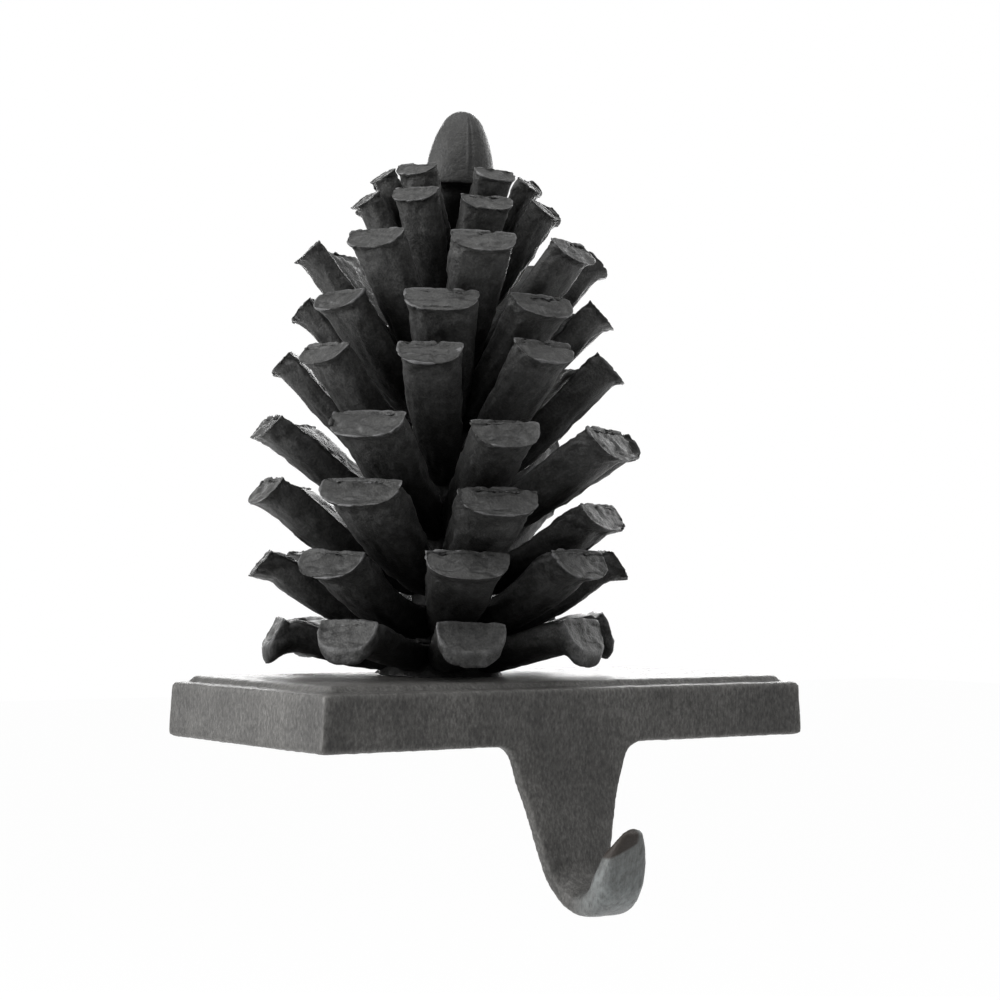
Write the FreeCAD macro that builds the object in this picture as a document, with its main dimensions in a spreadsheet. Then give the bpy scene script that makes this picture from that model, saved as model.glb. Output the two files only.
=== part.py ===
import FreeCAD, Part
import Sketcher
import math
import os
import re
from FreeCAD import Placement, Rotation, Vector

# A cast-iron stocking holder for a mantel shelf. One casting is the foot plate with the
# hook that hangs from its front edge. On it stands a pine cone of nine cast whorls, each
# with eight scales, stacked on a leaning rod that is cast with the bud as its head.
# Origin: the middle of the plate's underside, which rests on the shelf. The front is -Y.

os.makedirs("parts", exist_ok=True)
doc = FreeCAD.newDocument("stocking_holder")

# driving dimensions, in millimetres and degrees
sizes = {
    "plate_length": 140.0,
    "plate_depth": 76.4,
    "plate_height": 13.3,
    "plate_end_draft": 0.9,
    "plate_corner_round": 1.2,
    "plate_top_round": 1.6,
    "step_inset": 4.3,
    "step_height": 1.5,
    "step_round": 0.7,
    "tongue_offset": -2.0,
    "tongue_width": 34.0,
    "tongue_taper": 17.5,
    "tongue_drop": 9.0,
    "tongue_thickness": 4.2,
    "tongue_fillet": 5.0,
    "hook_edge_bevel": 0.9,
    "hook_lean": 9.5,
    "hook_shank_length": 19.5,
    "hook_bend_radius": 9.1,
    "hook_shank_width": 17.8,
    "hook_bend_width": 11.6,
    "hook_bend_thickness": 5.2,
    "prong_lean": 23.0,
    "prong_length": 13.4,
    "prong_width": 10.2,
    "prong_thickness": 6.9,
    "prong_tip_width": 4.4,
    "prong_tip_thickness": 2.6,
    "cone_side": -10.1,
    "cone_back": 7.4,
    "cone_lean_side": 1.1,
    "cone_lean_front": 1.72,
    "rod_diameter": 5.0,
    "rod_clearance": 0.2,
    "rod_below_nut": 1.2,
    "nut_across_flats": 8.0,
    "nut_height": 4.0,
    "recess_diameter": 15.0,
    "recess_depth": 6.4,
    "hub_across_flats": 16.0,
    "foot_diameter": 32.8,
    "foot_height": 2.6,
    "scale_count": 8,
    "scale_root_width": 5.0,
    "scale_head_share": 0.26,
    "bud_neck_diameter": 9.6,
    "bud_neck_height": 7.0,
    "bud_rim_height": 12.4,
    "bud_rim_diameter": 15.4,
    "bud_diameter": 17.1,
    "bud_widest_height": 18.0,
    "bud_nose_radius": 4.5,
    "bud_height": 31.2,
}

# the whorls from the foot up: height of the hub, then of each scale the radius and height
# of its tip over the hub's underside, the tip's width and height, the slope of its stem and
# of its head, the slope that its end face looks up at, its thickness, and the whorl's turn
whorl_fields = ("hub_height", "tip_radius", "tip_rise", "tip_width", "tip_height",
                "stem_slope", "head_slope", "face_slope", "thickness", "turn")
whorls = [
    (8.0, 43.2, 9.0, 16.6, 11.8, 20.0, 8.0, 27.0, 6.8, 22.3),
    (9.3, 45.8, 19.5, 19.0, 8.6, 44.0, 12.0, 38.0, 8.0, 20.1),
    (12.6, 46.6, 26.2, 20.0, 8.6, 41.0, 22.0, 38.0, 8.6, 31.5),
    (13.0, 47.2, 29.8, 18.4, 8.6, 38.0, 30.0, 40.0, 7.6, 29.5),
    (13.0, 41.6, 34.4, 16.4, 8.0, 49.0, 44.0, 44.0, 6.6, 6.5),
    (14.0, 37.7, 35.2, 17.3, 8.0, 50.0, 44.0, 44.0, 6.4, 8.0),
    (15.0, 37.3, 34.8, 15.5, 7.4, 53.0, 47.0, 44.0, 6.2, 24.8),
    (14.0, 25.2, 32.6, 12.2, 6.0, 60.0, 56.0, 48.0, 4.8, 33.6),
    (11.0, 20.4, 24.8, 10.4, 5.2, 62.0, 58.0, 50.0, 4.4, 34.6),
]
for number, row in enumerate(whorls, 1):
    for field, size in zip(whorl_fields, row):
        sizes[f"whorl_{number}_{field}"] = size

sheet = doc.addObject("Spreadsheet::Sheet", "Sizes")
for row, (name, size) in enumerate(sizes.items(), 1):
    sheet.set(f"A{row}", name)
    sheet.set(f"B{row}", str(size))
    sheet.setAlias(f"B{row}", name)
doc.recompute()


def formula(text):
    # every size name holds an underscore, and the formula reads it from the sheet
    return re.sub(r"\b([a-z]+_\w+)\b", r"Sizes.\1", str(text))


def value(text):
    return float(sheet.evalExpression(formula(text)))


def new_body(label):
    body = doc.addObject("PartDesign::Body", label)
    body.Label = label
    return body


def datum(body, role):
    return next(item for item in body.Origin.OriginFeatures if item.Role == role)


def new_sketch(body, name, role, offset=Placement()):
    sketch = body.newObject("Sketcher::SketchObject", name)
    sketch.AttachmentSupport = [(datum(body, role), "")]
    sketch.MapMode = "FlatFace"
    sketch.AttachmentOffset = offset
    return sketch


def pin(sketch, edge, end, x, y):
    # holds one end of an edge at x and y, which are formulas of the sheet's sizes
    for kind, axis, text in (("DistanceX", -2, x), ("DistanceY", -1, y)):
        if abs(value(text)) < 1e-6:
            sketch.addConstraint(Sketcher.Constraint("PointOnObject", edge, end, axis))
        else:
            made = Sketcher.Constraint(kind, -1, 1, edge, end, value(text))
            sketch.setExpression(f"Constraints[{sketch.addConstraint(made)}]", formula(text))


def arc_between(start, end, radius):
    # the shorter arc, its centre left of the way from start to end if the radius is positive
    half = (end - start) * 0.5
    rise = math.sqrt(max(radius ** 2 - half.Length ** 2, 0.0))
    left = Vector(-half.y, half.x, 0).normalize()
    centre = start + half + left * math.copysign(rise, radius)
    first, last = (start, end) if radius > 0 else (end, start)
    angles = [math.atan2(place.y - centre.y, place.x - centre.x) for place in (first, last)]
    return Part.ArcOfCircle(Part.Circle(centre, Vector(0, 0, 1), abs(radius)), *angles)


def outline(sketch, corners):
    # a closed outline of corners (x, y); a third value is the radius of the arc that
    # leaves the corner, negative where its centre is on the right of the way round
    places = [Vector(value(corner[0]), value(corner[1]), 0) for corner in corners]
    starts = []
    for index, corner in enumerate(corners):
        start, end = places[index], places[(index + 1) % len(corners)]
        if len(corner) == 2:
            edge = sketch.addGeometry(Part.LineSegment(start, end), False)
            starts.append((edge, 1, 2))
            continue
        radius = value(corner[2])
        edge = sketch.addGeometry(arc_between(start, end, radius), False)
        starts.append((edge, 1, 2) if radius > 0 else (edge, 2, 1))
    for index, (edge, start_end, _) in enumerate(starts):
        before, _, before_end = starts[index - 1]
        sketch.addConstraint(Sketcher.Constraint("Coincident", before, before_end, edge, start_end))
        pin(sketch, edge, start_end, *corners[index][:2])
        if len(corners[index]) == 3:
            made = Sketcher.Constraint("Radius", edge, abs(value(corners[index][2])))
            place = f"Constraints[{sketch.addConstraint(made)}]"
            sketch.setExpression(place, formula(f"abs({corners[index][2]})"))


def circle(sketch, diameter):
    edge = sketch.addGeometry(Part.Circle(Vector(), Vector(0, 0, 1), value(diameter) / 2), False)
    sketch.addConstraint(Sketcher.Constraint("Coincident", edge, 3, -1, 1))
    made = Sketcher.Constraint("Diameter", edge, value(diameter))
    sketch.setExpression(f"Constraints[{sketch.addConstraint(made)}]", formula(diameter))


def rectangle(sketch, width, height):
    outline(sketch, [(f"-({width}) / 2", f"-({height}) / 2"), (f"({width}) / 2", f"-({height}) / 2"),
                     (f"({width}) / 2", f"({height}) / 2"), (f"-({width}) / 2", f"({height}) / 2")])


def polygon(sketch, count, flats):
    # regular, with a flat square to the sketch's first axis
    reach = f"{flats} / 2 / cos(180 / {count})"
    angles = [f"({index} + 0.5) * 360 / {count}" for index in range(count)]
    outline(sketch, [(f"{reach} * cos({angle})", f"{reach} * sin({angle})") for angle in angles])


def extrude(body, kind, sketch, length, side="One side", reverse=False):
    feature = body.newObject(kind, sketch.Name + "_feature")
    feature.Profile = sketch
    feature.SideType = side
    feature.Reversed = reverse
    feature.setExpression("Length", formula(length))
    sketch.Visibility = False
    return feature


def revolve(body, sketch):
    feature = body.newObject("PartDesign::Revolution", sketch.Name + "_feature")
    feature.Profile = sketch
    feature.ReferenceAxis = (sketch, ["V_Axis"])
    feature.Angle = 360
    return feature


def dress_edges(body, kind, name, width, chosen):
    # a fillet or a chamfer on the edges of the body so far that the test picks out
    doc.recompute()
    base = body.Tip
    names = [f"Edge{i}" for i, edge in enumerate(base.Shape.Edges, 1) if chosen(edge.BoundBox)]
    feature = body.newObject(f"PartDesign::{kind}", name)
    feature.Base = (base, names)
    feature.setExpression("Radius" if kind == "Fillet" else "Size", formula(width))
    doc.recompute()


# the rod leans a little to the right and forward; everything on it shares this placement
plate_top = value("plate_height + step_height")
cone_foot = Vector(value("cone_side"), value("cone_back"), plate_top)
lean = (Rotation(Vector(0, 1, 0), value("cone_lean_side")) *
        Rotation(Vector(1, 0, 0), value("cone_lean_front")))


def on_rod(height, turn=0.0):
    # a placement on the rod's axis, at a height over the plate's top
    return Placement(cone_foot, lean) * Placement(Vector(0, 0, height), Rotation(Vector(0, 0, 1), turn))


def blend(first, last, share):
    return first + (last - first) * share


def hook_stations():
    # sections of the hook from the tongue to the prong's tip, each with its middle's place
    # (back, up), how far the hook has turned there, and its width and depth
    leaning, bend_radius = value("hook_lean"), value("hook_bend_radius")
    neck_width = value("tongue_width - 2 * tongue_drop * tan(tongue_taper)")
    shank_width, bend_width, prong_width = (value(name) for name in (
        "hook_shank_width", "hook_bend_width", "prong_width"))
    tongue_depth, bend_depth, prong_depth = (value(name) for name in (
        "tongue_thickness", "hook_bend_thickness", "prong_thickness"))

    def way(turned):
        return Vector(-math.sin(math.radians(turned)), -math.cos(math.radians(turned)), 0)

    place = Vector(tongue_depth / 2, -value("tongue_drop"), 0)
    stations = [(place, 0.0, neck_width, tongue_depth)]
    for share in (0.5, 1.0):
        middle = place + way(leaning) * value("hook_shank_length") * share
        stations.append((middle, leaning, blend(neck_width, shank_width, share ** 0.85), tongue_depth))
    turned = leaning
    centre = middle + way(leaning + 90) * bend_radius
    sweep = 180 - leaning - value("prong_lean")
    for step in range(1, 9):
        share = step / 8
        turned = leaning + sweep * share
        middle = centre - way(turned + 90) * bend_radius
        if share <= 0.5:
            width = blend(shank_width, bend_width, math.sin(math.pi * share))
            depth = blend(tongue_depth, bend_depth, 2 * share)
        else:
            width = blend(bend_width, prong_width, 2 * share - 1)
            depth = blend(bend_depth, prong_depth, math.sin(math.pi * (share - 0.5)))
        stations.append((middle, turned, width, depth))
    for share in (0.4, 0.75, 1.0):
        place = middle + way(turned) * value("prong_length") * share
        width = blend(prong_width, value("prong_tip_width"), share ** 2.2)
        depth = blend(prong_depth, value("prong_tip_thickness"), share)
        stations.append((place, turned, width, depth))
    return stations


def base_bracket():
    body = new_body("base_bracket")
    half_depth = "plate_depth / 2"

    # plate: its ends lean in a little towards the top, as a casting's do
    plate = new_sketch(body, "plate", "XZ_Plane")
    outline(plate, [("-plate_length / 2", "0"), ("plate_length / 2", "0"),
                    ("plate_length / 2 - plate_end_draft", "plate_height"),
                    ("plate_end_draft - plate_length / 2", "plate_height")])
    extrude(body, "PartDesign::Pad", plate, "plate_depth", side="Symmetric")

    # tongue: flush with the plate's front, with a fillet at each side of its root
    front = Placement(Vector(0, 0, value(half_depth)), Rotation())
    tongue = new_sketch(body, "tongue", "XZ_Plane", front)
    root = "(tongue_width / 2 + tongue_fillet * (1 - sin(tongue_taper)) / cos(tongue_taper))"
    side_x = f"({root} - tongue_fillet * cos(tongue_taper))"
    side_z = "-tongue_fillet * (1 - sin(tongue_taper))"
    foot = "(tongue_width / 2 - tongue_drop * tan(tongue_taper))"
    buried = "plate_height / 4"
    outline(tongue, [(f"tongue_offset - {root}", buried),
                     (f"tongue_offset - {root}", "0", "-tongue_fillet"),
                     (f"tongue_offset - {side_x}", side_z),
                     (f"tongue_offset - {foot}", "-tongue_drop"),
                     (f"tongue_offset + {foot}", "-tongue_drop"),
                     (f"tongue_offset + {side_x}", side_z, "-tongue_fillet"),
                     (f"tongue_offset + {root}", "0"), (f"tongue_offset + {root}", buried)])
    extrude(body, "PartDesign::Pad", tongue, "tongue_thickness", reverse=True)
    front_y, drop, height = -value(half_depth), value("tongue_drop"), value("plate_height")
    near = 0.01
    dress_edges(body, "Fillet", "plate_corner_round", "plate_corner_round",
                lambda box: box.ZMin > -near and box.ZLength > height / 2 and box.YLength < near)
    dress_edges(body, "Fillet", "plate_top_round", "plate_top_round", lambda box: box.ZMin > height - near)
    dress_edges(body, "Chamfer", "hook_edge_bevel", "hook_edge_bevel",
                lambda box: box.YMax < front_y + near and -drop - near < box.ZMin and box.ZMax < near
                and not (box.ZLength < near and box.ZMax < near - drop / 2))

    # step: the low pad that the cone stands on
    step = new_sketch(body, "step", "XY_Plane", Placement(Vector(0, 0, height), Rotation()))
    rectangle(step, "plate_length - 2 * step_inset", "plate_depth - 2 * step_inset")
    extrude(body, "PartDesign::Pad", step, "step_height")
    dress_edges(body, "Fillet", "step_round", "step_round", lambda box: box.ZMin > plate_top - near)

    # hook: from the tongue down, round the bend and up the prong
    sections = []
    for index, (place, turned, width, depth) in enumerate(hook_stations()):
        position = Vector(value("tongue_offset"), front_y + place.x, place.y)
        offset = Placement(position, Rotation(Vector(1, 0, 0), -turned))
        section = new_sketch(body, f"hook_section_{index}", "XY_Plane", offset)
        half_width, half = width / 2, depth / 2
        inner_x, inner_y = half_width - value("hook_edge_bevel"), half - value("hook_edge_bevel")
        outline(section, [(-inner_x, -half), (inner_x, -half), (half_width, -inner_y),
                          (half_width, inner_y), (inner_x, half), (-inner_x, half),
                          (-half_width, inner_y), (-half_width, -inner_y)])
        sections.append(section)
    hook = body.newObject("PartDesign::AdditiveLoft", "hook")
    hook.Profile = sections[0]
    hook.Sections = sections[1:]
    hook.Ruled = True

    # rod hole, and the recess below it for the nut, both square to the rod
    floor = on_rod(value("recess_depth") - plate_top)
    hole = new_sketch(body, "rod_hole", "XY_Plane", floor)
    circle(hole, "rod_diameter + 2 * rod_clearance")
    extrude(body, "PartDesign::Pocket", hole, "plate_height + step_height", reverse=True)
    recess = new_sketch(body, "nut_recess", "XY_Plane", floor)
    circle(recess, "recess_diameter")
    extrude(body, "PartDesign::Pocket", recess, "2 * recess_depth")
    return body


def whorl_scale(number):
    # one scale, lying along +X: its plan outline, cut to its side view and rounded below
    own = f"whorl_{number}_"
    body = new_body(own + "scale")
    stem, head, face = (math.radians(value(own + name)) for name in (
        "stem_slope", "head_slope", "face_slope"))
    tip_height, thickness = value(own + "tip_height"), value(own + "thickness")
    face_up = Vector(-math.sin(face), math.cos(face), 0)
    inside_hub = value("rod_diameter + hub_across_flats") / 4
    root = Vector(inside_hub, (value(own + "hub_height") + thickness) / 2, 0)
    tip = Vector(value(own + "tip_radius"), value(own + "tip_rise"), 0) + face_up * (tip_height / 2)
    head_length = value(f"scale_head_share * {own}tip_width")
    neck = tip - Vector(math.cos(head), math.sin(head), 0) * head_length
    knee = Vector(neck.x - (neck.y - root.y) / math.tan(stem), root.y, 0)

    # its top leaves the hub level, bends up to the stem's slope and levels off at the head
    upper, lower, edge = [], [], []
    for share, wide in ((0.0, "scale_root_width"), (0.5, f"0.54 * {own}tip_width"),
                        (1.0, f"0.76 * {own}tip_width"), (None, own + "tip_width")):
        if share is None:
            top, bottom = tip, tip - face_up * tip_height
        else:
            top = root * (1 - share) ** 2 + knee * 2 * share * (1 - share) + neck * share ** 2
            way = (knee - root) * (1 - share) + (neck - knee) * share
            bottom = top - Vector(-way.y, way.x, 0).normalize() * thickness
        upper.append((top.x, top.y))
        lower.append((bottom.x, bottom.y))
        edge.append(((top.x + bottom.x) / 2, f"{wide} / 2"))
    edge.append((edge[-1][0] + tip_height, edge[-1][1]))

    plan = new_sketch(body, own + "plan", "XY_Plane")
    outline(plan, [(x, f"-{y}") for x, y in edge] + edge[::-1])
    extrude(body, "PartDesign::Pad", plan, f"4 * {own}tip_rise", side="Symmetric")
    side_view = new_sketch(body, own + "side_view", "XZ_Plane")
    rectangle(side_view, f"4 * {own}tip_radius", f"6 * {own}tip_rise")
    outline(side_view, upper[::-1] + lower)
    extrude(body, "PartDesign::Pocket", side_view, f"2 * {own}tip_width", side="Symmetric")

    # underside: two flats a side, which fade out towards the narrower root
    chord = Vector(lower[3][0] - lower[1][0], lower[3][1] - lower[1][1], 0)
    turned = Rotation(Vector(1, 0, 0), -math.degrees(math.atan2(chord.y, chord.x)))
    offset = Placement(Vector(0, lower[3][1], lower[3][0]), turned)
    flats = new_sketch(body, own + "flats", "YZ_Plane", offset)
    wide = own + "tip_width"
    corner = [(f"0.14 * {wide}", "0"), (wide, "0"), (wide, f"0.3 * {wide}"),
              (f"0.5 * {wide}", f"0.3 * {wide}"), (f"0.36 * {wide}", f"0.12 * {wide}")]
    outline(flats, corner)
    outline(flats, [(f"-{x}", y) for x, y in reversed(corner)])
    extrude(body, "PartDesign::Pocket", flats, f"2 * {own}tip_radius", side="Symmetric")
    return body


def scale_whorl(number, label):
    own = f"whorl_{number}_"
    hub = new_body(own + "hub")
    ring = new_sketch(hub, own + "hub_ring", "XY_Plane")
    polygon(ring, int(value("scale_count")), "hub_across_flats")
    circle(ring, "rod_diameter + 2 * rod_clearance")
    extrude(hub, "PartDesign::Pad", ring, own + "hub_height")
    if number == 1:
        # the lowest hub has a foot, long enough below to be cut level with the plate
        foot = new_sketch(hub, own + "foot", "XZ_Plane")
        bore = "rod_diameter / 2 + rod_clearance"
        spare = "foot_diameter / 2 * tan(cone_lean_front + cone_lean_side)"
        outline(foot, [(bore, f"-({spare})"), ("foot_diameter / 2", f"-({spare})"),
                       ("foot_diameter / 2", "foot_height"), (bore, "foot_height")])
        revolve(hub, foot)
    scale, count = whorl_scale(number), int(value("scale_count"))
    scales = []
    for index in range(count):
        turned = doc.addObject("App::Link", f"{own}scale_{index}")
        turned.LinkedObject = scale
        turned.Placement = Placement(Vector(), Rotation(Vector(0, 0, 1), 360 * index / count))
        scales.append(turned)
    joined = doc.addObject("Part::MultiFuse", label)
    joined.Label = label
    joined.Shapes = [hub] + scales
    joined.Refine = True
    return joined


def level_foot(body, label):
    # the lowest whorl cut level where it stands on the plate
    below = doc.addObject("Part::Box", "below_plate_top")
    reach = value("2 * whorl_1_tip_radius")
    depth = value("foot_diameter")
    below.Length, below.Width, below.Height = reach, reach, depth
    below.Placement.Base = cone_foot - Vector(reach / 2, reach / 2, depth)
    cut = doc.addObject("Part::Cut", label)
    cut.Label = label
    cut.Base = body
    cut.Tool = below
    return cut


def bud_bolt(bottom, stack_top):
    # the bud and its rod in one, from the rod's lower end over the plate's top
    body = new_body("bud_bolt")
    profile = new_sketch(body, "bud_profile", "XZ_Plane")
    # the long side's curve runs into a ball nose, both drawn in short straight steps
    wide, nose = value("bud_diameter / 2"), value("bud_nose_radius")
    nose_centre = value("bud_height - bud_nose_radius")
    rise = nose_centre - value("bud_widest_height")
    side = (wide ** 2 + rise ** 2 - nose ** 2) / (2 * (wide - nose))
    joint = math.atan2(rise, side - wide)
    curve = [(wide - side + side * math.cos(angle), nose_centre - rise + side * math.sin(angle))
             for angle in (0.36 * joint, 0.7 * joint, joint)]
    angle = blend(joint, math.pi / 2, 0.5)
    curve.append((nose * math.cos(angle), nose_centre + nose * math.sin(angle)))
    outline(profile, [("0", bottom - stack_top), ("rod_diameter / 2", bottom - stack_top),
                      ("rod_diameter / 2", "0"), ("bud_neck_diameter / 2", "0"),
                      ("bud_neck_diameter / 2", "bud_neck_height"),
                      ("0.86 * bud_rim_diameter / 2", "bud_rim_height - 0.8"),
                      ("bud_rim_diameter / 2", "bud_rim_height"),
                      ("bud_diameter / 2", "bud_widest_height"), *curve, ("0", "bud_height")])
    revolve(body, profile)
    body.Placement = on_rod(stack_top)
    return body


def hex_nut(bottom):
    body = new_body("rod_nut")
    section = new_sketch(body, "nut_section", "XY_Plane")
    polygon(section, 6, "nut_across_flats")
    circle(section, "rod_diameter")
    extrude(body, "PartDesign::Pad", section, "nut_height")
    body.Placement = on_rod(bottom)
    return body


pieces = [base_bracket()]
level = 0.0
for number in range(1, len(whorls) + 1):
    label = f"scale_whorl_{number}"
    body = scale_whorl(number, label if number > 1 else label + "_blank")
    body.Placement = on_rod(level, value(f"whorl_{number}_turn"))
    pieces.append(body if number > 1 else level_foot(body, label))
    level += value(f"whorl_{number}_hub_height")
nut_level = value("recess_depth - nut_height") - plate_top
pieces.append(hex_nut(nut_level))
pieces.append(bud_bolt(nut_level - value("rod_below_nut"), level))

doc.recompute()
for item in doc.Objects:
    if "Invalid" in item.State or "Error" in item.State:
        raise RuntimeError(f"{item.Label} failed: {item.State}")
for piece in pieces:
    shape = piece.Shape
    if shape.isNull() or not shape.isValid() or len(shape.Solids) != 1:
        raise RuntimeError(f"{piece.Label} is not one valid solid")
    shape.exportStep(f"parts/{piece.Label}.step")
    print(f"{piece.Label}: {shape.Volume / 1000:.1f} cm3, {len(shape.Faces)} faces")
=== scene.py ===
import bmesh
import bpy
import math
import random
from mathutils import Matrix, Vector, noise


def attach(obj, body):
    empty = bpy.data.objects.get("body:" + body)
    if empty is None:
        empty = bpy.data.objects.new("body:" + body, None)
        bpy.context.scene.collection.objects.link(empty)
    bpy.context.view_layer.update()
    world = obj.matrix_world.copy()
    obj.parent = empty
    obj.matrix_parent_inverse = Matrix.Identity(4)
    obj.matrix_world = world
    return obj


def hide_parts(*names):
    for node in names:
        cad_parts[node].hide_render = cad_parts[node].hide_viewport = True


# cast-iron stocking holder: foot plate with a hook, and a pine cone of nine cast whorls on it
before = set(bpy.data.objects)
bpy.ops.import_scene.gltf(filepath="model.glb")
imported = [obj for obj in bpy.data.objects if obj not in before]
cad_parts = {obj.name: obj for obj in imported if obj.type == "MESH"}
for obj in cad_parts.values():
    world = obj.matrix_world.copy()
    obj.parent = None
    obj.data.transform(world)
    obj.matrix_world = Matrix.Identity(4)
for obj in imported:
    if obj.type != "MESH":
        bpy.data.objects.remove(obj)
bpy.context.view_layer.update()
print("frame loaded,", len(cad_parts), "nodes")

mm = 0.001


def toLinear(hexColour):
    values = [int(hexColour[i:i + 2], 16) / 255 for i in (1, 3, 5)]
    return [v / 12.92 if v <= 0.04045 else ((v + 0.055) / 1.055) ** 2.4 for v in values] + [1.0]


def addNode(tree, kind, settings=None, links=None):
    node = tree.nodes.new(kind)
    for name, setting in (settings or {}).items():
        if name == "stops":
            elements = node.color_ramp.elements
            while len(elements) < len(setting):
                elements.new(0.5)
            for element, (position, colour) in zip(elements, setting):
                element.position, element.color = position, toLinear(colour)
        elif isinstance(name, int) or name in node.inputs:
            node.inputs[name].default_value = setting
        else:
            setattr(node, name, setting)
    for name, source in (links or {}).items():
        tree.links.new(source, node.inputs[name])
    return node


# materials
castIron = {
    "gritSize": 0.55,           # mm, the sand's grain left on the skin; real sand is 0.2 mm, too fine to show
    "gritDepth": 0.16,          # mm
    "pitSize": 1.9,             # mm, shallow pits between the grains
    "pitDepth": 0.34,           # mm
    "pitShare": 0.55,           # of the pits in the grain's colour; the grit has the rest
    "platePitSize": 1.14,       # mm, the plate's skin is finer
    "platePitShare": 0.3,
    "plateStretch": 0.5,        # the plate's grain runs up and down
    "grainPlaces": (0.36, 0.5, 0.66),   # of its dark, middle and light colours in the noise
    "patchSize": 14.0,          # mm, uneven blackening
    "patchShare": 0.55,
    "patchPlaces": (0.35, 0.65), "patchColours": ("#8c8c8c", "#ffffff"),
    "endFaceTone": 0.66,        # the black lies thick in the folded skin of the scales' ends
    "edgeStart": 0.51, "edgeEnd": 0.58, "edgeRubAndHighlight": 0.36,    # how sharp an edge is where it is rubbed paler, partly a painted highlight
    "metallic": 0.35,
    "lowRoughness": 0.45, "highRoughness": 0.71,
    "bumpStrength": 0.8,
    "highSpecular": 0.5,
}
# each span is from, to and the least that it gives, in metres but for the speckles
# the hook's paler end is partly wear and partly a painted glint; its tip's inner corner is a painted shadow
hookWearAndGlint = {
    "forward": (-46.0 * mm, -58.0 * mm, 0.0),
    "down": (-21.0 * mm, -35.0 * mm, 0.4),
    "speckles": (0.3, 0.7, 0.25),
    "bareAndGlintColour": "#797e7e",
    "cornerSlope": -0.5,
    "cornerHigh": (-20.2 * mm, -19.6 * mm, 0.0),
    "cornerInner": (-1.2 * mm, -2.2 * mm, 0.0),
    "cornerFront": (-52.0 * mm, -54.0 * mm, 0.0),
    "cornerShadowColour": "#2b2622",
}
# painted shade up the rod as well: the bud is darkened at its neck and full at its rim
budNeckShade = (118.5 * mm, 123.5 * mm, 0.12)
# the cone's rod: its foot on the plate, and how it leans to the right and forward
rodForm = {"side": -10.1, "back": 7.4, "up": 14.8, "leanSide": 1.1, "leanFront": 1.72}
# painted shade: the cone's colour is darkened in its depth, where shade falls between the scales, and left full
# towards the tips: the radius where the painted shade starts to fade and where it is gone, low and high on the rod,
# in mm
coneDepth = {"lowHeight": 60.0, "highHeight": 122.0, "startLow": 22.0, "startHigh": 5.0,
             "endLow": 49.0, "endHigh": 20.0, "darkest": 0.36}
multiply = {"operation": "MULTIPLY"}
tint = {"data_type": "RGBA", "blend_type": "MULTIPLY", "Factor": 1.0}


def alongRod(tree, place):
    # the place seen from the rod: how far out from its axis, and how high up
    turned = {"vector_type": "TEXTURE", "Location": [rodForm[key] * mm for key in ("side", "back", "up")],
              "Rotation": (math.radians(rodForm["leanFront"]), math.radians(rodForm["leanSide"]), 0)}
    local = addNode(tree, "ShaderNodeMapping", turned, {"Vector": place}).outputs["Vector"]
    flat = addNode(tree, "ShaderNodeVectorMath", {**multiply, 1: (1, 1, 0)}, {0: local}).outputs["Vector"]
    radius = addNode(tree, "ShaderNodeVectorMath", {"operation": "LENGTH"}, {0: flat}).outputs["Value"]
    height = addNode(tree, "ShaderNodeSeparateXYZ", links={"Vector": local}).outputs["Z"]
    return radius, height


def overlap(tree, rows):
    # 1 where each source is past its span, and less where one isn't
    whole = None
    for source, (start, end, least) in rows:
        past = addNode(tree, "ShaderNodeMapRange", {"From Min": start, "From Max": end, "To Min": least},
                       {"Value": source}).outputs["Result"]
        if whole is not None:
            past = addNode(tree, "ShaderNodeMath", multiply, {0: whole, 1: past}).outputs["Value"]
        whole = past
    return whole


def paintedConeShade(tree, place):
    # painted shade: darkest in the depth of the cone, 1 towards the tips where none is painted
    radius, height = alongRod(tree, place)
    ends = []
    for low, high in (("startLow", "startHigh"), ("endLow", "endHigh")):
        span = {"From Min": coneDepth["lowHeight"] * mm, "From Max": coneDepth["highHeight"] * mm,
                "To Min": coneDepth[low] * mm, "To Max": coneDepth[high] * mm}
        ends.append(addNode(tree, "ShaderNodeMapRange", span, {"Value": height}).outputs["Result"])
    return addNode(tree, "ShaderNodeMapRange", {"To Min": coneDepth["darkest"]},
                   {"Value": radius, "From Min": ends[0], "From Max": ends[1]}).outputs["Result"]


def wornAndGlintHook(tree, place, colour, pits):
    # the loop has worn the upturned end to a cool, paler grey, partly a painted glint
    split = addNode(tree, "ShaderNodeSeparateXYZ", links={"Vector": place}).outputs
    bareAndGlint = overlap(tree, [(split["Y"], hookWearAndGlint["forward"]), (split["Z"], hookWearAndGlint["down"]),
                          (pits, hookWearAndGlint["speckles"])])
    # painted shadow: the inner corner of its tip, in the tongue's shade, is painted dark brown
    slant = addNode(tree, "ShaderNodeMath", {"operation": "MULTIPLY_ADD", 1: hookWearAndGlint["cornerSlope"]},
                    {0: split["X"], 2: split["Z"]}).outputs["Value"]
    cornerShadow = overlap(tree, [(slant, hookWearAndGlint["cornerHigh"]), (split["X"], hookWearAndGlint["cornerInner"]),
                            (split["Y"], hookWearAndGlint["cornerFront"])])
    for share, hexColour in ((bareAndGlint, hookWearAndGlint["bareAndGlintColour"]), (cornerShadow, hookWearAndGlint["cornerShadowColour"])):
        colour = addNode(tree, "ShaderNodeMix", {"data_type": "RGBA", 7: toLinear(hexColour)},
                         {"Factor": share, 6: colour}).outputs[2]
    return colour


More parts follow.
